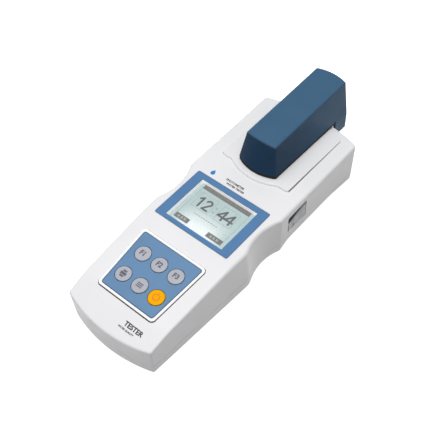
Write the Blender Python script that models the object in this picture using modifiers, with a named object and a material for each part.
"""Handheld photometric water tester: a hinged light shield over a sample well, display and six keys.

Frame: metres, +Z up, +Y towards the light shield, +X to the user's right hand.
The origin is on the ground, at the middle of the object's length and width.
"""

import math

import bmesh
import bpy
from mathutils import Matrix, Vector

MM = 0.001
GAP = 0.3 * MM
WELD = 0.001 * MM

# ---- Case outline, seen from above -------------------------------------------------------------
FRONT_CORNER_Y = -115.0 * MM
REAR_CORNER_Y = 95.5 * MM
FRONT_HALF_WIDTH = 35.6 * MM
FRONT_FLARE = 0.048
FRONT_BULGE = 6.1 * MM
REAR_BULGE = 6.4 * MM
REAR_HALF_WIDTH = 40.6 * MM
WAIST_FRONT_Y = -25.5 * MM
WAIST_REAR_Y = 9.0 * MM
WAIST_REAR_HALF_WIDTH = 40.1 * MM
WAIST_DEPTH = 4.1 * MM
NOSE_DRAFT = -0.02
WAIST_DRAFT = 0.045
REAR_DRAFT = -0.02
DRAFT_NEUTRAL_Z = 18.0 * MM

# ---- Case heights ------------------------------------------------------------------------------
CASE_BOTTOM_Z = 0.8 * MM
PARTING_Z = 8.0 * MM
DECK_Z = 35.8 * MM
DECK_KNEE_Y = -41.0 * MM
KEYPAD_SLOPE = 0.089
NOSE_KNEE_Y = -99.0 * MM
NOSE_SLOPE = 0.262
KNEE_BLEND = 3.5 * MM
WALL = 2.4 * MM
DECK_THICKNESS = 2.8 * MM
FLOOR_THICKNESS = 2.0 * MM
SIDE_ROUNDING = 2.3 * MM
NOSE_ROUNDING = 1.2 * MM
ROUNDING_GROWS_OVER = 95.0 * MM
BOTTOM_ROUNDING = 0.8 * MM
BELLY_ROUNDING = 6.6 * MM
BELLY_FRONT_Y = 6.0 * MM
BELLY_REAR_Y = 106.0 * MM

# ---- Raised sample deck and its well -----------------------------------------------------------
PLATFORM_FRONT_Y = 30.0 * MM
PLATFORM_NOSE_Y = 24.2 * MM
PLATFORM_NOSE_HALF = 19.5 * MM
PLATFORM_FRONT_HALF = 28.7 * MM
PLATFORM_REAR_HALF = 29.8 * MM
PLATFORM_REAR_Y = 93.0 * MM
PLATFORM_REAR_BULGE = 4.6 * MM
PLATFORM_FRONT_Z = 37.5 * MM
PLATFORM_REAR_Z = 36.6 * MM
PLATFORM_SIDE_ROUNDING = 0.5 * MM
PLATFORM_NOSE_ROUNDING = 1.3 * MM
WELL_Y = 57.0 * MM
WELL_RADIUS = 8.4 * MM
HOLDER_RADIUS = 11.6 * MM
HOLDER_FLANGE_RADIUS = 13.0 * MM
HOLDER_BOTTOM_Z = 6.0 * MM
OPTICS_Z = 17.0 * MM

# ---- Light shield ------------------------------------------------------------------------------
SHIELD_TOP_Z = 63.3 * MM
SHIELD_FOOT_FRONT_Y = 33.2 * MM
SHIELD_FOOT_FRONT_BULGE = 4.9 * MM
SHIELD_TOP_FRONT_Y = 37.4 * MM
SHIELD_TOP_FRONT_BULGE = 0.5 * MM
SHIELD_FOOT_HALF_FRONT = 16.5 * MM
SHIELD_FOOT_HALF_REAR = 18.0 * MM
SHIELD_TOP_HALF_FRONT = 12.2 * MM
SHIELD_TOP_HALF_REAR = 12.6 * MM
SHIELD_FOOT_REAR_Y = 119.0 * MM
SHIELD_TOP_REAR_Y = 121.25 * MM
SHIELD_REAR_BULGE = 2.4 * MM
SHIELD_WALL = 2.0 * MM
SHIELD_SKIRT_Z = 24.0 * MM
SEAL_HEIGHT = 2.0 * MM
SEAL_WIDTH = 2.0 * MM
HINGE_Y = 111.0 * MM
HINGE_Z = 32.0 * MM
HINGE_PIN_RADIUS = 1.5 * MM
HINGE_SCREW_Z = 25.6 * MM
HINGE_CHEEK_RADIUS = 8.4 * MM
HINGE_PIN_HALF_LENGTH = 16.4 * MM
PIN_CLEARANCE = 0.15 * MM
HINGE_SCREW_XS = (-4.0 * MM, 4.0 * MM)
HINGE_NOTCH_HALF = 13.3 * MM
HINGE_EAR_RADIUS = 4.0 * MM
HINGE_EAR_INNER_X = 11.6 * MM
HINGE_EAR_OUTER_X = 16.8 * MM
BRACKET_ARM_INNER_X = 8.0 * MM
BRACKET_ARM_OUTER_X = 10.8 * MM
BRACKET_THICKNESS = 1.6 * MM

# ---- Display -----------------------------------------------------------------------------------
DISPLAY_HALF_WIDTH = 31.25 * MM
DISPLAY_FRONT_Y = -37.6 * MM
DISPLAY_REAR_Y = 8.1 * MM
WINDOW_HALF_WIDTH = 24.1 * MM
WINDOW_FRONT_Y = -34.1 * MM
WINDOW_REAR_Y = 3.6 * MM
DISPLAY_FRAME_THICKNESS = 0.9 * MM

# ---- Keypad ------------------------------------------------------------------------------------
KEYPAD_Y = -75.9 * MM
KEYPAD_HALF_LENGTH = 22.45 * MM
KEYPAD_FRONT_HALF_WIDTH = 22.1 * MM
KEYPAD_REAR_HALF_WIDTH = 25.2 * MM
KEYPAD_RIM_WIDTH = 1.9 * MM
KEYPAD_RIM_RISE = 0.7 * MM
KEYPAD_PANEL_RISE = 0.3 * MM
KEY_RADIUS = 5.6 * MM
KEY_RISE = 1.0 * MM
KEY_FLANGE_RADIUS = 6.3 * MM
KEY_PITCH_X = 14.3 * MM
KEY_ROW_REAR = 8.8 * MM
KEY_ROW_FRONT = -9.8 * MM
KEY_TRAVEL = 0.7 * MM
KEYPAD_BOARD_DEPTH = 6.2 * MM

# ---- Port bay on the right wall ----------------------------------------------------------------
PORT_FRONT_Y = 16.5 * MM
PORT_REAR_Y = 37.0 * MM
PORT_LOW_Z = 14.6 * MM
PORT_HIGH_Z = 30.8 * MM
PORT_CORNER_RADIUS = 0.9 * MM
PORT_BAY_WALL_X = 37.2 * MM
JACK_Y = 21.8 * MM
DATA_Y = 31.0 * MM
SOCKETS_Z = 22.0 * MM
SOCKETS_FACE_X = 31.4 * MM
COVER_INNER_X = 37.7 * MM
COVER_OUTER_X = 40.0 * MM
COVER_CORNER_RADIUS = 1.4 * MM
COVER_HINGE_INSET = 0.6 * MM

# ---- Battery compartment -----------------------------------------------------------------------
CELL_RADIUS = 7.1 * MM
CELL_LENGTH = 50.0 * MM
CELL_BUTTON_RADIUS = 2.6 * MM
CELL_BED_Z = 3.3 * MM
CELL_COUNT = 4
CELL_PITCH = 14.6 * MM
BATTERY_Y = -66.5 * MM
BATTERY_HALF_WIDTH = 30.0 * MM
BATTERY_HALF_LENGTH = 29.0 * MM
TRAY_TOP_Z = 20.0 * MM
TRAY_WALL = 1.6 * MM
DOOR_EDGE = 0.7 * MM

# ---- Feet and screws ---------------------------------------------------------------------------
FOOT_RADIUS = 5.0 * MM
FOOT_PLACES = [(-24.0 * MM, -107.0 * MM), (24.0 * MM, -107.0 * MM),
               (-30.0 * MM, 84.0 * MM), (30.0 * MM, 84.0 * MM)]
SCREW_PLACES = [(-32.0 * MM, -31.4 * MM), (32.0 * MM, -31.4 * MM), (-33.0 * MM, 64.0 * MM),
                (33.0 * MM, 64.0 * MM), (0.0, -111.0 * MM)]
BOSS_RADIUS = 3.4 * MM
SCREW_RADIUS = 1.3 * MM
SCREW_HEAD_RADIUS = 2.5 * MM

COLOURS = {
    "white_plastic": ((0.84, 0.84, 0.86), 0.42, 0.0),
    "shield_blue": ((0.035, 0.095, 0.185), 0.45, 0.0),
    "black_rubber": ((0.012, 0.012, 0.014), 0.8, 0.0),
    "display_blue": ((0.11, 0.22, 0.42), 0.35, 0.0),
    "window_clear": ((0.8, 0.88, 0.88), 0.08, 0.0),
    "display_glass": ((0.56, 0.72, 0.72), 0.25, 0.0),
    "keypad_blue": ((0.13, 0.29, 0.5), 0.4, 0.0),
    "key_grey": ((0.5, 0.5, 0.58), 0.5, 0.0),
    "key_yellow": ((1.0, 0.47, 0.01), 0.45, 0.0),
    "cover_grey": ((0.62, 0.62, 0.64), 0.7, 0.0),
    "black_plastic": ((0.02, 0.02, 0.022), 0.5, 0.0),
    "steel": ((0.55, 0.55, 0.56), 0.3, 1.0),
    "brass": ((0.7, 0.5, 0.2), 0.35, 1.0),
    "board_green": ((0.02, 0.16, 0.07), 0.4, 0.0),
    "cell_wrap": ((0.05, 0.05, 0.06), 0.35, 0.0),
    "optic_glass": ((0.8, 0.85, 0.9), 0.05, 0.0),
}


# ---- Scene helpers -----------------------------------------------------------------------------
def clear_scene():
    for old in list(bpy.data.objects):
        bpy.data.objects.remove(old, do_unlink=True)


def new_collection(name):
    collection = bpy.data.collections.new(name)
    bpy.context.scene.collection.children.link(collection)
    return collection


def make_material(slot):
    colour, roughness, metallic = COLOURS[slot]
    material = bpy.data.materials.get(slot) or bpy.data.materials.new(slot)
    material.use_nodes = True
    shader = material.node_tree.nodes["Principled BSDF"]
    shader.inputs["Base Color"].default_value = (*colour, 1.0)
    shader.inputs["Roughness"].default_value = roughness
    shader.inputs["Metallic"].default_value = metallic
    material.diffuse_color = (*colour, 1.0)
    return material


def part_object(name, mesh, slot, smooth=False):
    """Put a mesh into the tester's collection with its material."""
    body = bpy.data.objects.new(name, mesh)
    PARTS.objects.link(body)
    body.data.materials.append(make_material(slot))
    if smooth:
        mesh.shade_smooth()
        mesh.set_sharp_from_angle(angle=math.radians(35))
    return body


def tool_object(mesh):
    """A cutter or a piece to be joined on: never part of the finished object."""
    tool = bpy.data.objects.new("tool", mesh)
    TOOLS.objects.link(tool)
    tool.hide_render = True
    tool.display_type = "WIRE"
    return tool


def combine(target, mesh, operation, matrix=None):
    tool = tool_object(mesh)
    if matrix is not None:
        tool.matrix_world = matrix
    modifier = target.modifiers.new(operation.lower(), "BOOLEAN")
    modifier.operation = operation
    modifier.object = tool
    modifier.solver = "EXACT"


def cut(target, mesh, matrix=None):
    combine(target, mesh, "DIFFERENCE", matrix)


def join(target, mesh, matrix=None):
    combine(target, mesh, "UNION", matrix)


def mesh_from(bm):
    bmesh.ops.recalc_face_normals(bm, faces=bm.faces)
    mesh = bpy.data.meshes.new("mesh")
    bm.to_mesh(mesh)
    bm.free()
    return mesh


# ---- Shape helpers -----------------------------------------------------------------------------
def box_mesh(low, high, rounding=0.0, segments=2):
    low, high = Vector(low), Vector(high)
    bm = bmesh.new()
    bmesh.ops.create_cube(bm, size=1.0)
    bmesh.ops.scale(bm, vec=high - low, verts=bm.verts)
    bmesh.ops.translate(bm, vec=(low + high) / 2, verts=bm.verts)
    if rounding:
        bmesh.ops.bevel(bm, geom=bm.edges[:], offset=rounding, segments=segments, profile=0.5,
                        affect="EDGES")
    return mesh_from(bm)


def cylinder_mesh(radius, start, end, sides=24, end_radius=None):
    """A cylinder or a cone from start to end."""
    start, end = Vector(start), Vector(end)
    bm = bmesh.new()
    bmesh.ops.create_cone(bm, cap_ends=True, segments=sides, radius1=radius,
                          radius2=radius if end_radius is None else end_radius,
                          depth=(end - start).length)
    turn = (end - start).to_track_quat("Z", "Y").to_matrix().to_4x4()
    bmesh.ops.transform(bm, matrix=Matrix.Translation((start + end) / 2) @ turn, verts=bm.verts)
    return mesh_from(bm)


def turned_mesh(profile, steps):
    """A solid of revolution about Z from (radius, z) points that start and end on the axis."""
    bm = bmesh.new()
    line = [bm.verts.new((radius, 0.0, z)) for radius, z in profile]
    edges = [bm.edges.new(pair) for pair in zip(line, line[1:])]
    bmesh.ops.spin(bm, geom=line + edges, cent=(0, 0, 0), axis=(0, 0, 1), angle=math.tau,
                   steps=steps, use_duplicate=False)
    bmesh.ops.remove_doubles(bm, verts=bm.verts, dist=WELD)
    return mesh_from(bm)


def prism_mesh(outline, low_z, high_z):
    bm = bmesh.new()
    face = bm.faces.new([bm.verts.new((x, y, low_z)) for x, y in outline])
    grown = bmesh.ops.extrude_face_region(bm, geom=[face])
    top = [item for item in grown["geom"] if isinstance(item, bmesh.types.BMVert)]
    bmesh.ops.translate(bm, vec=(0, 0, high_z - low_z), verts=top)
    return mesh_from(bm)


def strip_mesh(path, width):
    """An open sheet that follows a path of (y, z) points in millimetres."""
    bm = bmesh.new()
    line = [bm.verts.new((-width / 2, y * MM, z * MM)) for y, z in path]
    edges = [bm.edges.new(pair) for pair in zip(line, line[1:])]
    grown = bmesh.ops.extrude_edge_only(bm, edges=edges)
    far = [item for item in grown["geom"] if isinstance(item, bmesh.types.BMVert)]
    bmesh.ops.translate(bm, vec=(width, 0, 0), verts=far)
    return mesh_from(bm)


def thicken(sheet, thickness):
    solid = sheet.modifiers.new("thickness", "SOLIDIFY")
    solid.thickness = thickness
    solid.offset = 0.0
    solid.use_even_offset = True


def merged_mesh(meshes):
    """Several separate solids in one mesh."""
    bm = bmesh.new()
    for mesh in meshes:
        bm.from_mesh(mesh)
    joined = bpy.data.meshes.new("mesh")
    bm.to_mesh(joined)
    bm.free()
    return joined


def rounded_outline(corners, radius, steps=4):
    """A closed outline whose corners are arcs."""
    outline = []
    for index, corner in enumerate(corners):
        here = Vector(corner)
        before = (Vector(corners[index - 1]) - here).normalized()
        after = (Vector(corners[(index + 1) % len(corners)]) - here).normalized()
        half_angle = before.angle(after) / 2
        centre = here + (before + after).normalized() * radius / math.sin(half_angle)
        first = here + before * radius / math.tan(half_angle) - centre
        last = here + after * radius / math.tan(half_angle) - centre
        for step in range(steps + 1):
            spoke = first.lerp(last, step / steps).normalized() * radius
            outline.append(tuple(centre + spoke))
    return outline


def rounded_rectangle(low_x, low_y, high_x, high_y, radius, steps=4):
    corners = [(low_x, low_y), (high_x, low_y), (high_x, high_y), (low_x, high_y)]
    return rounded_outline(corners, radius, steps)


def spread(first, last, count):
    """Evenly spaced values from first up to, not including, last."""
    return [first + (last - first) * index / count for index in range(count)]


def half_arc(tip_y, corner_x, corner_y, steps):
    """Points of a shallow arc from the middle of an end to its corner, as (x, y)."""
    sagitta = abs(corner_y - tip_y)
    radius = (corner_x ** 2 + sagitta ** 2) / (2 * sagitta)
    side = 1 if corner_y > tip_y else -1
    points = []
    for x in spread(0.0, corner_x, steps):
        points.append((x, tip_y + side * (radius - math.sqrt(radius ** 2 - x ** 2))))
    return points


def inward_normals(outline):
    """For a half outline from the front middle round the right side to the rear middle."""
    normals = []
    for index, point in enumerate(outline):
        if index in (0, len(outline) - 1):
            normals.append(Vector((0.0, 1.0 if index == 0 else -1.0)))
            continue
        run_in = (Vector(point) - Vector(outline[index - 1])).normalized()
        run_out = (Vector(outline[index + 1]) - Vector(point)).normalized()
        turn_in = Vector((-run_in.y, run_in.x))
        turn_out = Vector((-run_out.y, run_out.x))
        middle = (turn_in + turn_out).normalized()
        normals.append(middle / max(middle.dot(turn_in), 0.5))
    return normals


def half_loft(rings):
    """Close the right half of a solid between rings of points that start and end at x = 0.

    Each ring's points are joined to the middle plane at the first and the last ring.
    """
    bm = bmesh.new()
    grid = [[bm.verts.new(point) for point in ring] for ring in rings]
    for lower, upper in zip(grid, grid[1:]):
        for index in range(len(lower) - 1):
            bm.faces.new((lower[index], lower[index + 1], upper[index + 1], upper[index]))
    for ring, flip in ((grid[0], True), (grid[-1], False)):
        middle = [ring[0]]
        middle += [bm.verts.new((0.0, vert.co.y, vert.co.z)) for vert in ring[1:-1]]
        middle.append(ring[-1])
        for index in range(len(ring) - 1):
            corners = [ring[index], ring[index + 1], middle[index + 1], middle[index]]
            unique = list(dict.fromkeys(corners))
            bm.faces.new(unique[::-1] if flip else unique)
    bmesh.ops.remove_doubles(bm, verts=bm.verts, dist=WELD / 10)
    return bm


def mirrored_mesh(half):
    """Mirror an open half at x = 0 and weld it."""
    copied = bmesh.ops.duplicate(half, geom=half.verts[:] + half.edges[:] + half.faces[:])
    verts = [item for item in copied["geom"] if isinstance(item, bmesh.types.BMVert)]
    faces = [item for item in copied["geom"] if isinstance(item, bmesh.types.BMFace)]
    bmesh.ops.scale(half, vec=(-1, 1, 1), verts=verts)
    bmesh.ops.reverse_faces(half, faces=faces)
    bmesh.ops.remove_doubles(half, verts=half.verts, dist=WELD)
    bmesh.ops.dissolve_degenerate(half, edges=half.edges, dist=WELD / 10)
    return mesh_from(half)


def knee(distance, slope_before, slope_after):
    """Height along a line that changes slope at distance 0, softened by KNEE_BLEND each way."""
    if distance <= -KNEE_BLEND:
        return slope_before * distance
    if distance >= KNEE_BLEND:
        return slope_after * distance
    bend = (slope_after - slope_before) * (distance + KNEE_BLEND) ** 2 / (4 * KNEE_BLEND)
    return slope_before * distance + bend


# ---- Case shape --------------------------------------------------------------------------------
def deck_height(y):
    """Top of the case: level round the display, sloping to the keypad and steeper at the nose."""
    return (DECK_Z + knee(y - DECK_KNEE_Y, KEYPAD_SLOPE, 0.0)
            + knee(y - NOSE_KNEE_Y, NOSE_SLOPE - KEYPAD_SLOPE, 0.0))


def side_half_width(y):
    """Half the case's width along its side, with the finger scoop."""
    if y < WAIST_FRONT_Y:
        return FRONT_HALF_WIDTH + FRONT_FLARE * (y - FRONT_CORNER_Y)
    if y > WAIST_REAR_Y:
        along = (y - WAIST_REAR_Y) / (REAR_CORNER_Y - WAIST_REAR_Y)
        return WAIST_REAR_HALF_WIDTH + (REAR_HALF_WIDTH - WAIST_REAR_HALF_WIDTH) * along
    start = FRONT_HALF_WIDTH + FRONT_FLARE * (WAIST_FRONT_Y - FRONT_CORNER_Y)
    along = (y - WAIST_FRONT_Y) / (WAIST_REAR_Y - WAIST_FRONT_Y)
    chord = (WAIST_REAR_Y - WAIST_FRONT_Y) / 2
    radius = (chord ** 2 + WAIST_DEPTH ** 2) / (2 * WAIST_DEPTH)
    off_centre = y - (WAIST_REAR_Y + WAIST_FRONT_Y) / 2
    scoop = math.sqrt(radius ** 2 - off_centre ** 2) - (radius - WAIST_DEPTH)
    return start + (WAIST_REAR_HALF_WIDTH - start) * along - scoop


def case_outline():
    """Right half of the case from its front tip to its rear tip."""
    points = half_arc(FRONT_CORNER_Y - FRONT_BULGE, FRONT_HALF_WIDTH, FRONT_CORNER_Y, 6)
    stations = [FRONT_CORNER_Y]
    stations += spread(-111 * MM, NOSE_KNEE_Y - KNEE_BLEND, 2)
    stations += spread(NOSE_KNEE_Y - KNEE_BLEND, NOSE_KNEE_Y + KNEE_BLEND, 3)
    stations += spread(NOSE_KNEE_Y + KNEE_BLEND, DECK_KNEE_Y - KNEE_BLEND, 3)
    stations += spread(DECK_KNEE_Y - KNEE_BLEND, DECK_KNEE_Y + KNEE_BLEND, 2)
    stations += spread(DECK_KNEE_Y + KNEE_BLEND, WAIST_FRONT_Y, 1)
    stations += spread(WAIST_FRONT_Y, WAIST_REAR_Y, 10)
    stations += spread(WAIST_REAR_Y, REAR_CORNER_Y, 8)
    stations.append(REAR_CORNER_Y)
    points += [(side_half_width(y), y) for y in stations]
    rear = half_arc(REAR_CORNER_Y + REAR_BULGE, REAR_HALF_WIDTH, REAR_CORNER_Y, 6)
    return points + rear[::-1]


def edge_rounding(y):
    """Radius of the case's top edge, tighter at the nose."""
    along = (y - FRONT_CORNER_Y) / ROUNDING_GROWS_OVER
    return NOSE_ROUNDING + (SIDE_ROUNDING - NOSE_ROUNDING) * min(max(along, 0.0), 1.0)


def smooth_step(value):
    """0 below 0, 1 above 1 and a soft S between."""
    value = min(max(value, 0.0), 1.0)
    return value * value * (3 - 2 * value)


def bottom_rounding(y):
    """Radius of the case's lower edge, eased where the hand wraps under its rear half."""
    rise = smooth_step((y - BELLY_FRONT_Y) / (14 * MM))
    fall = smooth_step((BELLY_REAR_Y - y) / (45 * MM))
    return BOTTOM_ROUNDING + (BELLY_ROUNDING - BOTTOM_ROUNDING) * rise * fall


def wall_draft(y):
    """Lean of the side walls, inwards as they rise where it is above 0."""
    nearing = min((y - FRONT_CORNER_Y) / (WAIST_FRONT_Y - FRONT_CORNER_Y), 1.0)
    past = smooth_step((y - WAIST_FRONT_Y) / (WAIST_REAR_Y - WAIST_FRONT_Y))
    before = NOSE_DRAFT + (WAIST_DRAFT - NOSE_DRAFT) * nearing
    return before + (REAR_DRAFT - before) * past


def case_ring(outline, normals, inset, height):
    """A ring of the case at an inset from its outline; height is a function of y."""
    ring = []
    for (x, y), normal in zip(outline, normals):
        move = inset(y) if callable(inset) else inset
        z = height(y)
        move += wall_draft(y) * (z - DRAFT_NEUTRAL_Z)
        ring.append((max(x + normal.x * move, 0.0), y + normal.y * move, z))
    return ring


def upper_block(inset, deck_drop, low_z, least_rounding, rounding_angles=(0, 30, 60, 90)):
    """The upper case's outer or inner form as one closed solid."""
    outline = case_outline()
    normals = inward_normals(outline)

    def rounding(y):
        return max(edge_rounding(y) - inset, least_rounding)

    rings = [case_ring(outline, normals, inset, lambda y: low_z)]
    for angle in rounding_angles:
        sine, cosine = math.sin(math.radians(angle)), math.cos(math.radians(angle))
        rings.append(case_ring(
            outline, normals,
            lambda y, c=cosine: inset + rounding(y) * (1 - c),
            lambda y, s=sine: deck_height(y) - deck_drop - rounding(y) * (1 - s)))
    return mirrored_mesh(half_loft(rings))


def lower_block(inset, low_z, high_z, rounding):
    """The lower case's outer or inner form; rounding is a function of y."""
    outline = case_outline()
    normals = inward_normals(outline)
    rings = []
    for angle in (90, 60, 30, 0):
        sine, cosine = math.sin(math.radians(angle)), math.cos(math.radians(angle))
        rings.append(case_ring(outline, normals,
                               lambda y, c=cosine: inset + rounding(y) * (1 - c),
                               lambda y, s=sine: low_z + rounding(y) * (1 - s)))
    rings.append(case_ring(outline, normals, inset, lambda y: high_z))
    return mirrored_mesh(half_loft(rings))


def platform_top(y):
    along = (y - PLATFORM_NOSE_Y) / (PLATFORM_REAR_Y - PLATFORM_NOSE_Y)
    return PLATFORM_FRONT_Z + (PLATFORM_REAR_Z - PLATFORM_FRONT_Z) * along


def platform_rounding(y):
    """Radius of the platform's top edge, softer round its nose."""
    nose = smooth_step((PLATFORM_FRONT_Y + 2 * MM - y) / (4 * MM))
    return PLATFORM_SIDE_ROUNDING + (PLATFORM_NOSE_ROUNDING - PLATFORM_SIDE_ROUNDING) * nose


def platform_block():
    """The raised deck round the light shield, with a nose that follows the shield's curved front."""
    corner = 2.0 * MM
    outline = half_arc(PLATFORM_NOSE_Y, PLATFORM_NOSE_HALF, PLATFORM_FRONT_Y - 0.4 * MM, 6)
    outline += [(PLATFORM_NOSE_HALF, PLATFORM_FRONT_Y - 0.3 * MM),
                (PLATFORM_FRONT_HALF - corner, PLATFORM_FRONT_Y),
                (PLATFORM_FRONT_HALF - 0.5 * MM, PLATFORM_FRONT_Y + 0.6 * MM),
                (PLATFORM_FRONT_HALF, PLATFORM_FRONT_Y + corner),
                (PLATFORM_REAR_HALF, PLATFORM_REAR_Y - corner),
                (PLATFORM_REAR_HALF - 0.6 * MM, PLATFORM_REAR_Y - 0.6 * MM)]
    rear = half_arc(PLATFORM_REAR_Y + PLATFORM_REAR_BULGE, PLATFORM_REAR_HALF - corner,
                    PLATFORM_REAR_Y, 6)
    outline += [(PLATFORM_REAR_HALF - corner, PLATFORM_REAR_Y)] + rear[::-1]
    normals = inward_normals(outline)

    rings = [[(x, y, DECK_Z - 1.5 * MM) for x, y in outline]]
    for angle in (0, 45, 90):
        sine, cosine = math.sin(math.radians(angle)), math.cos(math.radians(angle))
        ring = []
        for (x, y), normal in zip(outline, normals):
            radius = platform_rounding(y)
            inset = radius * (1 - cosine)
            z = platform_top(y) - radius * (1 - sine)
            ring.append((max(x + normal.x * inset, 0.0), y + normal.y * inset, z))
        rings.append(ring)
    return mirrored_mesh(half_loft(rings))


def keypad_frame():
    """Axes of the sloped keypad: local Z is the keys' own axis."""
    place = Matrix.Translation((0.0, KEYPAD_Y, deck_height(KEYPAD_Y)))
    return place @ Matrix.Rotation(math.atan(KEYPAD_SLOPE), 4, "X")


def keypad_outline(grow, radius):
    front, rear = KEYPAD_FRONT_HALF_WIDTH + grow, KEYPAD_REAR_HALF_WIDTH + grow
    reach = KEYPAD_HALF_LENGTH + grow
    corners = [(-front, -reach), (front, -reach), (rear, reach), (-rear, reach)]
    return rounded_outline(corners, radius, 4)


def key_places():
    names = [("key_f1", "key_f2", "key_f3"), ("key_print", "key_mode", "key_power")]
    for row, row_y in zip(names, (KEY_ROW_REAR, KEY_ROW_FRONT)):
        for name, column in zip(row, (-1, 0, 1)):
            yield name, column * KEY_PITCH_X, row_y


# ---- Case parts --------------------------------------------------------------------------------
def make_upper_case():
    case = part_object("upper_case", upper_block(0.0, 0.0, PARTING_Z + GAP, 0.5 * MM),
                       "white_plastic", smooth=True)
    join(case, platform_block())
    cut(case, upper_block(WALL, DECK_THICKNESS, PARTING_Z - 1.0 * MM, 0.6 * MM, (0, 90)))
    bosses = [cylinder_mesh(BOSS_RADIUS, (x, y, PARTING_Z + 1.2 * MM),
                            (x, y, deck_height(y) - 1.5 * MM), 16) for x, y in SCREW_PLACES]
    join(case, merged_mesh(bosses))
    holes = [cylinder_mesh(SCREW_RADIUS + GAP, (x, y, PARTING_Z), (x, y, 20.5 * MM), 12)
             for x, y in SCREW_PLACES]
    cut(case, merged_mesh(holes))
    cut_display_opening(case)
    cut_keypad_opening(case)
    cut(case, cylinder_mesh(HOLDER_RADIUS + GAP, (0, WELL_Y, 30 * MM), (0, WELL_Y, 45 * MM), 32))
    port = rounded_rectangle(PORT_FRONT_Y, PORT_LOW_Z, PORT_REAR_Y, PORT_HIGH_Z,
                             PORT_CORNER_RADIUS, 3)
    cut(case, prism_mesh(port, 33 * MM, 45 * MM), side_profile_turn())
    rear = REAR_CORNER_Y + REAR_BULGE
    screws = [cylinder_mesh(SCREW_RADIUS, (x, rear - 6 * MM, HINGE_SCREW_Z),
                            (x, rear + 3 * MM, HINGE_SCREW_Z), 12) for x in HINGE_SCREW_XS]
    cut(case, merged_mesh(screws))
    return case


def cut_display_opening(case):
    seat = rounded_rectangle(-DISPLAY_HALF_WIDTH - GAP, DISPLAY_FRONT_Y - GAP,
                             DISPLAY_HALF_WIDTH + GAP, DISPLAY_REAR_Y + GAP, 1.2 * MM, 2)
    cut(case, prism_mesh(seat, DECK_Z - DISPLAY_FRAME_THICKNESS, DECK_Z + 4 * MM))
    cut(case, box_mesh((-WINDOW_HALF_WIDTH - 2.2 * MM, WINDOW_FRONT_Y - 2.2 * MM, 30 * MM),
                       (WINDOW_HALF_WIDTH + 2.2 * MM, WINDOW_REAR_Y + 2.2 * MM, 38 * MM)))


def cut_keypad_opening(case):
    frame = keypad_frame()
    seat = keypad_outline(KEYPAD_RIM_WIDTH + GAP, 3.2 * MM)
    cut(case, prism_mesh(seat, -1.2 * MM, 6 * MM), frame)
    through = [cylinder_mesh(KEY_RADIUS + 1.2 * MM, (x, y, -6 * MM), (x, y, 3 * MM), 24)
               for _, x, y in key_places()]
    cut(case, merged_mesh(through), frame)


def make_lower_case():
    case = part_object("lower_case", lower_block(0.0, CASE_BOTTOM_Z, PARTING_Z, bottom_rounding),
                       "white_plastic", smooth=True)
    cut(case, lower_block(WALL, CASE_BOTTOM_Z + FLOOR_THICKNESS, PARTING_Z + 2 * MM,
                          lambda y: 0.8 * MM))
    posts = [cylinder_mesh(BOSS_RADIUS, (x, y, CASE_BOTTOM_Z + 1 * MM), (x, y, PARTING_Z + 0.9 * MM), 16)
             for x, y in SCREW_PLACES]
    join(case, merged_mesh(posts))
    bores = [cylinder_mesh(SCREW_RADIUS + GAP, (x, y, 0), (x, y, PARTING_Z + 3 * MM), 12)
             for x, y in SCREW_PLACES]
    bores += [cylinder_mesh(SCREW_HEAD_RADIUS + GAP, (x, y, -1 * MM), (x, y, 4.6 * MM), 16)
              for x, y in SCREW_PLACES]
    cut(case, merged_mesh(bores[:len(SCREW_PLACES)]))
    cut(case, merged_mesh(bores[len(SCREW_PLACES):]))
    seats = [cylinder_mesh(FOOT_RADIUS + GAP, (x, y, -1 * MM), (x, y, CASE_BOTTOM_Z + 0.9 * MM), 24)
             for x, y in FOOT_PLACES]
    cut(case, merged_mesh(seats))
    cut(case, box_mesh((-BATTERY_HALF_WIDTH, BATTERY_Y - BATTERY_HALF_LENGTH, -1 * MM),
                       (BATTERY_HALF_WIDTH, BATTERY_Y + BATTERY_HALF_LENGTH, 6 * MM)))
    cut(case, seal_mesh(GAP))


def seal_mesh(grow):
    """A thin ring that lies in the lower case's rim; grown, it is the groove."""
    outline = case_outline()
    normals = inward_normals(outline)
    rings = []
    outer_inset, inner_inset = 0.9 * MM - grow, 1.5 * MM + grow
    low_z, high_z = 6.9 * MM - grow, PARTING_Z + (5 * grow if grow else 0.0)
    section = ((outer_inset, low_z), (outer_inset, high_z), (inner_inset, high_z), (inner_inset, low_z))
    for inset, z in section:
        rings.append(case_ring(outline, normals, inset, lambda y, z=z: z))
    bm = bmesh.new()
    grid = [[bm.verts.new(point) for point in ring] for ring in rings]
    for index, ring in enumerate(grid):
        following = grid[(index + 1) % len(grid)]
        for step in range(len(ring) - 1):
            bm.faces.new((ring[step], ring[step + 1], following[step + 1], following[step]))
    return mirrored_mesh(bm)


def make_case_seal():
    part_object("case_seal", seal_mesh(0.0), "black_rubber")


def make_case_screws():
    for number, (x, y) in enumerate(SCREW_PLACES, 1):
        mesh = screw_mesh((x, y, 2.6 * MM), (0, 0, 1), 15.5 * MM, SCREW_RADIUS, SCREW_HEAD_RADIUS)
        part_object(f"case_screw_{number}", mesh, "steel", smooth=True)


def screw_mesh(head_place, direction, length, radius, head_radius):
    """A pan-head screw: the profile is turned about its axis, the head at head_place."""
    head_place, direction = Vector(head_place), Vector(direction).normalized()
    profile = [(0.0, 0.0), (head_radius * 0.8, 0.0), (head_radius, head_radius * 0.25),
               (head_radius, head_radius * 0.7), (radius, head_radius * 0.7),
               (radius, length - radius), (radius * 0.4, length), (0.0, length)]
    mesh = turned_mesh(profile, 12)
    turn = direction.to_track_quat("Z", "Y").to_matrix().to_4x4()
    mesh.transform(Matrix.Translation(head_place) @ turn)
    return mesh


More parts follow.
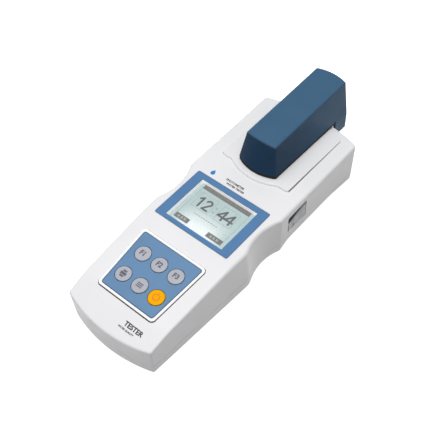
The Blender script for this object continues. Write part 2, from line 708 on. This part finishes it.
def make_rubber_feet():
    for number, (x, y) in enumerate(FOOT_PLACES, 1):
        mesh = cylinder_mesh(FOOT_RADIUS, (x, y, 0), (x, y, CASE_BOTTOM_Z + 0.6 * MM), 24)
        part_object(f"rubber_foot_{number}", mesh, "black_rubber", smooth=True)


# ---- Display parts -----------------------------------------------------------------------------
def make_display():
    frame = part_object("display_frame", prism_mesh(
        rounded_rectangle(-DISPLAY_HALF_WIDTH, DISPLAY_FRONT_Y, DISPLAY_HALF_WIDTH, DISPLAY_REAR_Y,
                          0.9 * MM, 2),
        DECK_Z - DISPLAY_FRAME_THICKNESS + GAP, DECK_Z + 0.15 * MM), "display_blue")
    cut(frame, box_mesh((-WINDOW_HALF_WIDTH, WINDOW_FRONT_Y, 30 * MM),
                        (WINDOW_HALF_WIDTH, WINDOW_REAR_Y, 40 * MM)))
    lens_low = (-WINDOW_HALF_WIDTH - 1.8 * MM, WINDOW_FRONT_Y - 1.8 * MM, 33.5 * MM)
    lens_high = (WINDOW_HALF_WIDTH + 1.8 * MM, WINDOW_REAR_Y + 1.8 * MM, 34.8 * MM)
    part_object("display_window", box_mesh(lens_low, lens_high), "window_clear")
    panel = box_mesh((-26 * MM, -36.5 * MM, 31.2 * MM), (26 * MM, 6 * MM, 32.7 * MM))
    part_object("display_panel", panel, "display_glass")
    holder = part_object("display_holder", box_mesh((-28 * MM, -39.5 * MM, 28 * MM),
                                                    (28 * MM, 9 * MM, 32.4 * MM)), "steel")
    cut(holder, box_mesh((-26.4 * MM, -36.9 * MM, 28.6 * MM), (26.4 * MM, 6.4 * MM, 36 * MM)))
    cut(holder, box_mesh((-11 * MM, -50 * MM, 30.2 * MM), (11 * MM, -35 * MM, 31 * MM)))
    part_object("display_backlight", box_mesh((-25.5 * MM, -36 * MM, 28.9 * MM),
                                              (25.5 * MM, 5.5 * MM, 30.9 * MM)), "optic_glass")
    make_display_ribbon()


def make_display_ribbon():
    """A flat flex that leaves the display's front edge and folds down to the main board."""
    path = [(-37.4, 30.6), (-41.5, 30.6), (-42.6, 29.5), (-42.6, 26.0), (-41.5, 24.9), (-38.5, 24.9)]
    ribbon = part_object("display_ribbon", strip_mesh(path, 18 * MM), "brass")
    thicken(ribbon, 0.25 * MM)


# ---- Keypad parts ------------------------------------------------------------------------------
def make_keypad():
    frame = keypad_frame()
    rim = part_object("keypad_rim", prism_mesh(keypad_outline(KEYPAD_RIM_WIDTH, 2.9 * MM),
                                               -1.2 * MM + GAP, KEYPAD_RIM_RISE), "white_plastic")
    rim.matrix_world = frame
    cut(rim, prism_mesh(keypad_outline(GAP * 0.7, 1.2 * MM), -3 * MM, 3 * MM), frame)
    soften(rim, 0.3 * MM)
    panel = part_object("keypad_panel", prism_mesh(keypad_outline(-0.1 * MM, 1.0 * MM),
                                                   -1.2 * MM + GAP, KEYPAD_PANEL_RISE), "keypad_blue")
    panel.matrix_world = frame
    windows = [cylinder_mesh(KEY_RADIUS + GAP, (x, y, -3 * MM), (x, y, 3 * MM), 32)
               for _, x, y in key_places()]
    cut(panel, merged_mesh(windows), frame)
    for name, x, y in key_places():
        slot = "key_yellow" if name == "key_power" else "key_grey"
        key = part_object(name, key_mesh(), slot, smooth=True)
        key.matrix_world = frame @ Matrix.Translation((x, y, 0.0))
    board_top = -KEYPAD_BOARD_DEPTH
    board = part_object("keypad_board", box_mesh((-24 * MM, -20 * MM, board_top - 1.2 * MM),
                                                 (24 * MM, 20 * MM, board_top)), "board_green")
    board.matrix_world = frame
    sheet = part_object("dome_sheet", box_mesh((-20 * MM, -15.5 * MM, board_top + 0.3 * MM),
                                               (20 * MM, 14.5 * MM, board_top + 0.5 * MM)), "steel")
    sheet.matrix_world = frame
    domes = [cylinder_mesh(3.6 * MM, (x, y, board_top + 0.4 * MM), (x, y, board_top + 0.9 * MM),
                           16, 1.6 * MM) for _, x, y in key_places()]
    join(sheet, merged_mesh(domes), frame)


def key_mesh():
    """A round key: crowned cap above, a plunger that stops just above its switch dome."""
    plunger_z = -KEYPAD_BOARD_DEPTH + 0.9 * MM + KEY_TRAVEL + 0.15 * MM
    profile = [(0.0, KEY_RISE), (KEY_RADIUS * 0.5, KEY_RISE - 0.05 * MM),
               (KEY_RADIUS * 0.85, KEY_RISE - 0.2 * MM), (KEY_RADIUS, KEY_RISE - 0.65 * MM),
               (KEY_RADIUS, -1.25 * MM), (KEY_FLANGE_RADIUS, -1.25 * MM), (KEY_FLANGE_RADIUS, -2.0 * MM),
               (2.2 * MM, -2.0 * MM), (2.0 * MM, plunger_z), (0.0, plunger_z)]
    return turned_mesh(profile, 28)


def soften(body, width):
    bevel = body.modifiers.new("soften", "BEVEL")
    bevel.width = width
    bevel.segments = 1
    bevel.limit_method = "ANGLE"
    bevel.angle_limit = math.radians(40)


# ---- Light shield ------------------------------------------------------------------------------
def shield_ring(height_part, inset, z, foot_z=None):
    """One level of the shield: height_part is 0 at its foot and 1 at its top.

    The ring runs from the front middle round the right side to the rear middle.
    """
    def blend(low, high):
        return low + (high - low) * height_part

    front_half = blend(SHIELD_FOOT_HALF_FRONT, SHIELD_TOP_HALF_FRONT) - inset
    rear_half = blend(SHIELD_FOOT_HALF_REAR, SHIELD_TOP_HALF_REAR) - inset
    front_y = blend(SHIELD_FOOT_FRONT_Y, SHIELD_TOP_FRONT_Y) + inset
    bulge = blend(SHIELD_FOOT_FRONT_BULGE, SHIELD_TOP_FRONT_BULGE)
    rear_y = blend(SHIELD_FOOT_REAR_Y, SHIELD_TOP_REAR_Y) - SHIELD_REAR_BULGE - inset
    corner = 1.2 * MM
    front = half_arc(front_y - bulge, front_half - corner * 0.5, front_y - corner * 0.15, 6)
    side = [(front_half - corner * 0.5, front_y), (front_half - corner * 0.12, front_y + corner * 0.45),
            (front_half, front_y + corner * 1.2), (rear_half, rear_y - corner * 1.2),
            (rear_half - corner * 0.12, rear_y - corner * 0.45), (rear_half - corner * 0.5, rear_y)]
    rear = half_arc(rear_y + SHIELD_REAR_BULGE, rear_half - corner * 0.5, rear_y + corner * 0.15, 5)
    return [(x, y, z) for x, y in front + side + rear[::-1]]


def shield_block(inset, low_z, top_drop, rounding):
    """The shield's outer or inner form, extended straight down to low_z."""
    foot_level = PLATFORM_FRONT_Z
    top = SHIELD_TOP_Z - top_drop
    rings = []
    for z in (low_z, foot_level, (foot_level + top) / 2, top - rounding):
        rings.append(shield_ring(max(z - foot_level, 0.0) / (SHIELD_TOP_Z - foot_level), inset, z))
    for angle in (45, 90):
        sine, cosine = math.sin(math.radians(angle)), math.cos(math.radians(angle))
        rings.append(shield_ring(1.0, inset + rounding * (1 - cosine), top - rounding * (1 - sine)))
    return mirrored_mesh(half_loft(rings))


def foot_cutter(rise):
    """Everything below the shield's foot: the sloped platform top in front, the hinge skirt behind."""
    clear = HINGE_CHEEK_RADIUS
    front_low = platform_top(0.0) + rise
    rear_low = platform_top(HINGE_Y - clear) + rise
    outline = [(0.0, -10 * MM), (0.0, front_low), (HINGE_Y - clear, rear_low), (HINGE_Y - clear, HINGE_Z)]
    last = math.asin((HINGE_Z - SHIELD_SKIRT_Z) / clear)
    for step in range(1, 5):
        angle = math.pi + last * step / 4
        outline.append((HINGE_Y + clear * math.cos(angle), HINGE_Z + clear * math.sin(angle)))
    outline += [(140 * MM, SHIELD_SKIRT_Z), (140 * MM, -10 * MM)]
    return prism_mesh(outline, -30 * MM, 30 * MM)


def side_profile_turn():
    """Turns an outline drawn in Y and Z, extruded along X, into place."""
    return Matrix.Rotation(math.radians(90), 4, "Z") @ Matrix.Rotation(math.radians(90), 4, "X")


def make_light_shield():
    turn = side_profile_turn()
    hinge = Matrix.Translation((0.0, HINGE_Y, HINGE_Z))
    mesh = shield_block(0.0, 15 * MM, 0.0, 1.2 * MM)
    mesh.transform(hinge.inverted())
    shield = part_object("light_shield", mesh, "shield_blue", smooth=True)
    shield.matrix_world = hinge
    cut(shield, shield_block(SHIELD_WALL, 5 * MM, SHIELD_WALL, 0.8 * MM))
    cut(shield, box_mesh((-HINGE_NOTCH_HALF, HINGE_Y + 3 * MM, 10 * MM),
                         (HINGE_NOTCH_HALF, HINGE_Y + 16 * MM, HINGE_Z - 2.6 * MM)))
    for side in (-1, 1):
        join(shield, cylinder_mesh(HINGE_EAR_RADIUS, (side * HINGE_EAR_INNER_X, HINGE_Y, HINGE_Z),
                                   (side * HINGE_EAR_OUTER_X, HINGE_Y, HINGE_Z), 20))
    cut(shield, foot_cutter(GAP + SEAL_HEIGHT + GAP), turn)
    bore_x = HINGE_PIN_HALF_LENGTH + 0.2 * MM
    cut(shield, cylinder_mesh(HINGE_PIN_RADIUS + PIN_CLEARANCE, (-bore_x, HINGE_Y, HINGE_Z),
                              (bore_x, HINGE_Y, HINGE_Z), 20))


def make_shield_seal():
    """The black strip under the shield's foot: along its front and sides, ending at the hinge skirt."""
    hinge = Matrix.Translation((0.0, HINGE_Y, HINGE_Z))
    low_z, high_z = 34 * MM, PLATFORM_FRONT_Z + 4 * MM
    foot_level = PLATFORM_FRONT_Z
    rings = []
    for z in (low_z, high_z):
        rings.append(shield_ring((z - foot_level) / (SHIELD_TOP_Z - foot_level), 0.1 * MM, z))
    outer = mirrored_mesh(half_loft(rings))
    outer.transform(hinge.inverted())
    seal = part_object("shield_seal", outer, "black_rubber")
    seal.matrix_world = hinge
    cut(seal, shield_block(SEAL_WIDTH, 20 * MM, 0.0, 0.8 * MM))
    front, rear = 20 * MM, HINGE_Y - HINGE_CHEEK_RADIUS - 0.8 * MM
    front_z, rear_z = platform_top(front) + GAP, platform_top(rear) + GAP
    band = [(front, front_z), (rear, rear_z), (rear, rear_z + SEAL_HEIGHT),
            (front, front_z + SEAL_HEIGHT)]
    keep = seal.modifiers.new("band", "BOOLEAN")
    keep.operation = "INTERSECT"
    keep.solver = "EXACT"
    keep.object = tool_object(prism_mesh(band, -30 * MM, 30 * MM))
    keep.object.matrix_world = side_profile_turn()


def make_hinge():
    rear = REAR_CORNER_Y + REAR_BULGE + GAP
    plate = part_object("hinge_bracket", box_mesh(
        (-10.6 * MM, rear, HINGE_Z - 10 * MM),
        (10.6 * MM, rear + BRACKET_THICKNESS, HINGE_Z + 2.5 * MM)), "steel")
    for side in (-1, 1):
        low, high = sorted((side * BRACKET_ARM_INNER_X, side * BRACKET_ARM_OUTER_X))
        arm = box_mesh((low, rear + 0.4 * MM, HINGE_Z - 3 * MM), (high, HINGE_Y, HINGE_Z + 3 * MM))
        join(plate, arm)
        join(plate, cylinder_mesh(3.4 * MM, (low, HINGE_Y, HINGE_Z), (high, HINGE_Y, HINGE_Z), 20))
    cut(plate, cylinder_mesh(HINGE_PIN_RADIUS + PIN_CLEARANCE, (-12 * MM, HINGE_Y, HINGE_Z),
                             (12 * MM, HINGE_Y, HINGE_Z), 20))
    holes = [cylinder_mesh(SCREW_RADIUS, (x, rear - 1 * MM, HINGE_SCREW_Z),
                           (x, rear + 3 * MM, HINGE_SCREW_Z), 12) for x in HINGE_SCREW_XS]
    cut(plate, merged_mesh(holes))
    pin = cylinder_mesh(HINGE_PIN_RADIUS, (-HINGE_PIN_HALF_LENGTH, HINGE_Y, HINGE_Z),
                        (HINGE_PIN_HALF_LENGTH, HINGE_Y, HINGE_Z), 20)
    part_object("hinge_pin", pin, "steel", smooth=True)
    for number, x in enumerate(HINGE_SCREW_XS, 1):
        head = (x, rear + BRACKET_THICKNESS + GAP + 1.4 * MM, HINGE_SCREW_Z)
        mesh = screw_mesh(head, (0, -1, 0), 7 * MM, 1.0 * MM, 2.0 * MM)
        part_object(f"hinge_screw_{number}", mesh, "steel", smooth=True)


# ---- Sample well and optics --------------------------------------------------------------------
def make_cuvette_holder():
    top = platform_top(WELL_Y) + GAP + 0.4 * MM
    tube = cylinder_mesh(HOLDER_RADIUS, (0, WELL_Y, HOLDER_BOTTOM_Z), (0, WELL_Y, top), 32)
    holder = part_object("cuvette_holder", tube, "black_plastic", smooth=True)
    join(holder, cylinder_mesh(HOLDER_FLANGE_RADIUS, (0, WELL_Y, top), (0, WELL_Y, top + 1.4 * MM), 32))
    cut(holder, cylinder_mesh(WELL_RADIUS, (0, WELL_Y, HOLDER_BOTTOM_Z + 2 * MM),
                              (0, WELL_Y, top + 5 * MM), 32))
    cut(holder, cylinder_mesh(2.9 * MM, (-20 * MM, WELL_Y, OPTICS_Z), (20 * MM, WELL_Y, OPTICS_Z), 16))
    for number, side in enumerate((-1, 1), 1):
        mesh = cylinder_mesh(2.6 * MM, (side * 9.0 * MM, WELL_Y, OPTICS_Z),
                             (side * 10.0 * MM, WELL_Y, OPTICS_Z), 16)
        part_object(f"optical_window_{number}", mesh, "optic_glass", smooth=True)
    body = cylinder_mesh(2.5 * MM, (-19 * MM, WELL_Y, OPTICS_Z), (-10.4 * MM, WELL_Y, OPTICS_Z), 16)
    collar = cylinder_mesh(3.3 * MM, (-19 * MM, WELL_Y, OPTICS_Z), (-17.8 * MM, WELL_Y, OPTICS_Z), 16)
    join(part_object("light_source", body, "optic_glass", smooth=True), collar)
    sensor = box_mesh((12.3 * MM, WELL_Y - 2.6 * MM, OPTICS_Z - 2.6 * MM),
                      (14.2 * MM, WELL_Y + 2.6 * MM, OPTICS_Z + 2.6 * MM))
    part_object("photodiode", sensor, "black_plastic")
    board = box_mesh((14.5 * MM, WELL_Y - 12 * MM, 8 * MM), (15.9 * MM, WELL_Y + 12 * MM, 28 * MM))
    part_object("sensor_board", board, "board_green")


# ---- Ports -------------------------------------------------------------------------------------
def make_ports():
    bay = part_object("port_bay", box_mesh((28.0 * MM, PORT_FRONT_Y - 2 * MM, PORT_LOW_Z - 2 * MM),
                                           (PORT_BAY_WALL_X, PORT_REAR_Y + 2 * MM, PORT_HIGH_Z + 1.5 * MM)),
                      "black_plastic")
    cut(bay, box_mesh((30.0 * MM, PORT_FRONT_Y + 0.2 * MM, PORT_LOW_Z + 0.2 * MM),
                      (45 * MM, PORT_REAR_Y - 0.2 * MM, PORT_HIGH_Z - 0.2 * MM)))
    cut(bay, cylinder_mesh(4.3 * MM, (26 * MM, JACK_Y, SOCKETS_Z), (32 * MM, JACK_Y, SOCKETS_Z), 20))
    cut(bay, socket_block(26 * MM, 32 * MM, 4.2 * MM, 2.6 * MM))
    make_jack()
    make_data_socket()
    make_port_cover()


def make_jack():
    """A round socket with a centre pin."""
    barrel = cylinder_mesh(4.0 * MM, (18 * MM, JACK_Y, SOCKETS_Z), (SOCKETS_FACE_X, JACK_Y, SOCKETS_Z), 20)
    jack = part_object("dc_socket", barrel, "black_plastic", smooth=True)
    cut(jack, cylinder_mesh(2.8 * MM, (22 * MM, JACK_Y, SOCKETS_Z), (34 * MM, JACK_Y, SOCKETS_Z), 20))
    join(jack, cylinder_mesh(1.0 * MM, (21 * MM, JACK_Y, SOCKETS_Z), (30.6 * MM, JACK_Y, SOCKETS_Z), 12))


def socket_block(low_x, high_x, half_y, half_z, rounding=0.0):
    """A block along X centred on the data socket."""
    return box_mesh((low_x, DATA_Y - half_y, SOCKETS_Z - half_z),
                    (high_x, DATA_Y + half_y, SOCKETS_Z + half_z), rounding, 1)


def make_data_socket():
    """A flat metal shell round a contact tongue."""
    shell = socket_block(20 * MM, SOCKETS_FACE_X, 3.9 * MM, 2.3 * MM, 0.4 * MM)
    data = part_object("data_socket", shell, "steel")
    cut(data, socket_block(23 * MM, 34 * MM, 3.4 * MM, 1.8 * MM))
    join(data, socket_block(22 * MM, 30.6 * MM, 2.6 * MM, 0.5 * MM))


def make_port_cover():
    """A rubber flap with a wedge-shaped finger lip along its top, deepest at its free front end."""
    front, rear = PORT_FRONT_Y + 1.5 * MM, PORT_REAR_Y - 0.35 * MM
    low, high = PORT_LOW_Z + 0.35 * MM, PORT_HIGH_Z - 1.1 * MM
    outline = rounded_rectangle(front, low, rear, high, COVER_CORNER_RADIUS, 3)
    hinge = Matrix.Translation((COVER_OUTER_X - COVER_HINGE_INSET, rear - COVER_HINGE_INSET,
                                (low + high) / 2))
    mesh = prism_mesh(outline, COVER_INNER_X, COVER_OUTER_X)
    mesh.transform(hinge.inverted() @ side_profile_turn())
    cover = part_object("port_cover", mesh, "cover_grey")
    cover.matrix_world = hinge
    wedge = [(front - 1 * MM, high + 4 * MM), (front - 1 * MM, high - 7.5 * MM),
             (rear - 1 * MM, high + 0.5 * MM), (rear - 1 * MM, high + 4 * MM)]
    lip = prism_mesh(wedge, COVER_OUTER_X - 0.9 * MM, COVER_OUTER_X + 3 * MM)
    cut(cover, lip, side_profile_turn())
    dimple = (front + 3.4 * MM, low + 2.0 * MM)
    cut(cover, cylinder_mesh(1.5 * MM, (COVER_OUTER_X - 1.0 * MM, *dimple),
                             (COVER_OUTER_X + 2 * MM, *dimple), 12))


# ---- Power and electronics ---------------------------------------------------------------------
def make_battery():
    low_y, high_y = BATTERY_Y - BATTERY_HALF_LENGTH, BATTERY_Y + BATTERY_HALF_LENGTH
    floor_z = CASE_BOTTOM_Z + FLOOR_THICKNESS + GAP
    half = BATTERY_HALF_WIDTH
    block = box_mesh((-half - TRAY_WALL, low_y - TRAY_WALL, floor_z),
                     (half + TRAY_WALL, high_y + TRAY_WALL, TRAY_TOP_Z))
    tray = part_object("battery_tray", block, "black_plastic")
    cut(tray, box_mesh((-half, low_y, -1 * MM), (half, high_y, TRAY_TOP_Z - 1.4 * MM)))
    edge = DOOR_EDGE
    hinge = Matrix.Translation((0.0, low_y + edge + 0.9 * MM, CASE_BOTTOM_Z + 1.2 * MM))
    mesh = box_mesh((-half + edge, low_y + edge, CASE_BOTTOM_Z + 0.3 * MM),
                    (half - edge, high_y - edge, CASE_BOTTOM_Z + 2.0 * MM), 0.4 * MM, 1)
    mesh.transform(hinge.inverted())
    door = part_object("battery_door", mesh, "white_plastic")
    door.matrix_world = hinge
    grips = []
    for row in range(3):
        groove_y = high_y - (6 + 2.4 * row) * MM
        grips.append(box_mesh((-7 * MM, groove_y, -1 * MM),
                              (7 * MM, groove_y + 1 * MM, CASE_BOTTOM_Z + 0.8 * MM)))
    cut(door, merged_mesh(grips))
    for index in range(CELL_COUNT):
        x = (index - (CELL_COUNT - 1) / 2) * CELL_PITCH
        facing = 1 if index % 2 else -1
        part_object(f"battery_cell_{index + 1}", cell_mesh(x, facing), "cell_wrap", smooth=True)
    for name, end in (("front", -1), ("rear", 1)):
        make_battery_contacts(name, BATTERY_Y + end * (BATTERY_HALF_LENGTH - 0.9 * MM))


def make_battery_contacts(name, y):
    """A strip of contact plates on a carrier bar, one plate for each cell."""
    reach = CELL_PITCH * (CELL_COUNT - 1) / 2 + 5 * MM
    strip = part_object(f"battery_contacts_{name}", box_mesh(
        (-reach, y - 0.3 * MM, 9 * MM), (reach, y + 0.3 * MM, 12 * MM)), "steel")
    plates = []
    for index in range(CELL_COUNT):
        x = (index - (CELL_COUNT - 1) / 2) * CELL_PITCH
        plates.append(box_mesh((x - 4 * MM, y - 0.25 * MM, 6 * MM),
                               (x + 4 * MM, y + 0.25 * MM, 15 * MM)))
    join(strip, merged_mesh(plates))


def cell_mesh(x, facing):
    """One cell lying along Y with its positive button on the facing side."""
    length, radius, button = CELL_LENGTH, CELL_RADIUS, CELL_BUTTON_RADIUS
    profile = [(0.0, 0.0), (radius * 0.8, 0.0), (radius, 0.6 * MM), (radius, length - 0.6 * MM),
               (radius * 0.75, length), (button, length), (button, length + 1.5 * MM),
               (0.0, length + 1.5 * MM)]
    mesh = turned_mesh(profile, 16)
    turn = Vector((0, facing, 0)).to_track_quat("Z", "Y").to_matrix().to_4x4()
    place = Matrix.Translation((x, BATTERY_Y - facing * length / 2, CELL_BED_Z + radius))
    mesh.transform(place @ turn)
    return mesh


def make_boards():
    low_z, high_z = 22.8 * MM, 24.4 * MM
    board = box_mesh((-28 * MM, -48 * MM, low_z), (26.5 * MM, 15.5 * MM, high_z))
    part_object("main_board", board, "board_green")
    for number, (x, y) in enumerate(((-24 * MM, 12 * MM), (22 * MM, 12 * MM)), 1):
        top = deck_height(y) - DECK_THICKNESS - GAP
        mesh = cylinder_mesh(2.4 * MM, (x, y, high_z + GAP), (x, y, top), 6)
        part_object(f"board_spacer_{number}", mesh, "brass")
    chip_low = high_z + GAP
    part_object("main_chip", box_mesh((-17 * MM, -27 * MM, chip_low),
                                      (-3 * MM, -13 * MM, chip_low + 1.4 * MM)), "black_plastic")
    part_object("board_connector", box_mesh((8 * MM, -10 * MM, chip_low),
                                            (20 * MM, -4 * MM, chip_low + 2.8 * MM)), "black_plastic")


def make_battery_lead():
    """The flat twin lead from the battery tray up to the main board."""
    path = [(-35.2, 11.0), (-33.6, 11.4), (-31.8, 13.4), (-31.0, 16.4), (-31.0, 22.2)]
    lead = part_object("battery_lead", strip_mesh(path, 2.6 * MM), "black_rubber")
    thicken(lead, 1.0 * MM)


def build():
    make_lower_case()
    make_case_seal()
    make_upper_case()
    make_case_screws()
    make_rubber_feet()
    make_display()
    make_keypad()
    make_light_shield()
    make_shield_seal()
    make_hinge()
    make_cuvette_holder()
    make_ports()
    make_battery()
    make_boards()
    make_battery_lead()
    bpy.context.view_layer.update()


clear_scene()
PARTS = new_collection("water_tester")
TOOLS = new_collection("cutters")
build()
